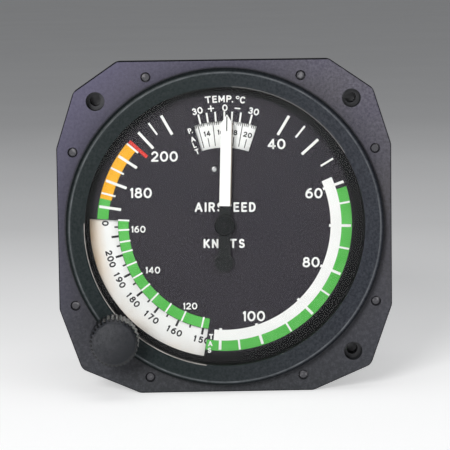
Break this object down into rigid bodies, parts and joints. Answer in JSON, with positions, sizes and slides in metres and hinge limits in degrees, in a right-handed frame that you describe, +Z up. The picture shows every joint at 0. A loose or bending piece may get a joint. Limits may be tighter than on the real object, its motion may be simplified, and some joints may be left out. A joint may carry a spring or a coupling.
{
  "type": "true airspeed indicator",
  "caption": "Panel-mounted round-dial true airspeed indicator with a square flange, a turning true airspeed scale set by a corner knob, and a capsule mechanism.",
  "frame": {"origin": "where the dial axis meets the flange's front face, the face that lies against the back of the panel", "axes": "-Y out of the dial towards the reader, +X to the dial's right as read, +Z up"},
  "size_m": [0.0824, 0.07, 0.0824],
  "materials": {
    "bezel_paint": "black crackle paint on die-cast aluminium",
    "case_black": "satin black paint on drawn aluminium",
    "steel": "plain steel",
    "brass": "turned brass",
    "rubber": "black sealing rubber",
    "glass": "clear anti-reflection glass",
    "dial_black": "matt black dial paint on aluminium",
    "scale_print": "white print on black aluminium",
    "pointer_paint": "matt white paint with a black tail",
    "aluminium": "machined aluminium",
    "knob_plastic": "moulded dark grey plastic",
    "bronze_sheet": "beryllium copper sheet"
  },
  "bodies": {
    "case": {"bezel": "bezel_paint", "bezel_screws": "steel", "mounting_inserts": "brass", "case_gasket": "rubber", "case_housing": "case_black", "glass_gasket": "rubber", "cover_glass": "glass", "glass_spacer": "case_black", "main_dial": "dial_black", "dial_screws": "steel", "scale_carrier": "aluminium", "carrier_posts": "aluminium", "knob_bush": "brass", "knob_seal": "rubber", "seal_washer": "steel", "front_plate": "aluminium", "rear_plate": "aluminium", "plate_pillars": "aluminium", "front_plate_screws": "steel", "case_screws": "steel", "staff_bearings": "brass", "rocking_bearings": "brass", "capsule_base": "bronze_sheet", "capsule_diaphragm": "bronze_sheet", "capsule_bracket": "aluminium", "capsule_nut": "brass", "bracket_screws": "steel", "pitot_line": "bronze_sheet", "hairspring": "bronze_sheet", "hairspring_stud": "brass"},
    "tas_disc": {"tas_scale": "scale_print", "tas_ring_gear": "brass", "tas_stop_pin": "steel"},
    "knob_group": {"knob": "knob_plastic", "knob_screws": "steel", "knob_shaft": "steel", "knob_clip": "steel", "knob_pinion": "brass"},
    "rocking_group": {"sector_gear": "brass", "sector_weight": "brass", "rocking_shaft": "steel", "rocker_lever": "brass"},
    "pointer_group": {"pointer": "pointer_paint", "pointer_hub": "case_black", "pointer_staff": "steel", "staff_pinion": "steel", "hairspring_collet": "brass"},
    "capsule_top": {"capsule_fork": "brass"}
  },
  "joints": [
    {"name": "scale_turn", "type": "hinge", "parent": "case", "child": "tas_disc", "pos_m": [0, 0.007, 0], "axis": [0, 1, 0], "range_deg": [-15, 70]},
    {"name": "knob_turn", "type": "hinge", "parent": "case", "child": "knob_group", "pos_m": [-0.02762, 0, -0.02667], "axis": [0, 1, 0], "range_deg": [-678, 146]},
    {"name": "sector_swing", "type": "hinge", "parent": "case", "child": "rocking_group", "pos_m": [-0.0228, 0.0158, 0], "axis": [0, 1, 0], "range_deg": [-39, 0]},
    {"name": "pointer_turn", "type": "hinge", "parent": "case", "child": "pointer_group", "pos_m": [0, 0.0032, 0], "axis": [0, 1, 0], "range_deg": [0, 331.51], "deforming": ["hairspring"]},
    {"name": "capsule_rise", "type": "slide", "parent": "case", "child": "capsule_top", "axis": [0, 0, 1], "range_m": [0, 0.00334], "deforming": ["capsule_diaphragm"]}
  ],
  "couplings": [
    {"joint": "knob_turn", "follows": "scale_turn", "ratio": -9.6667},
    {"joint": "sector_swing", "follows": "capsule_rise", "rad_per_m": -203.91},
    {"joint": "pointer_turn", "follows": "capsule_rise", "rad_per_m": 1733.3}
  ]
}
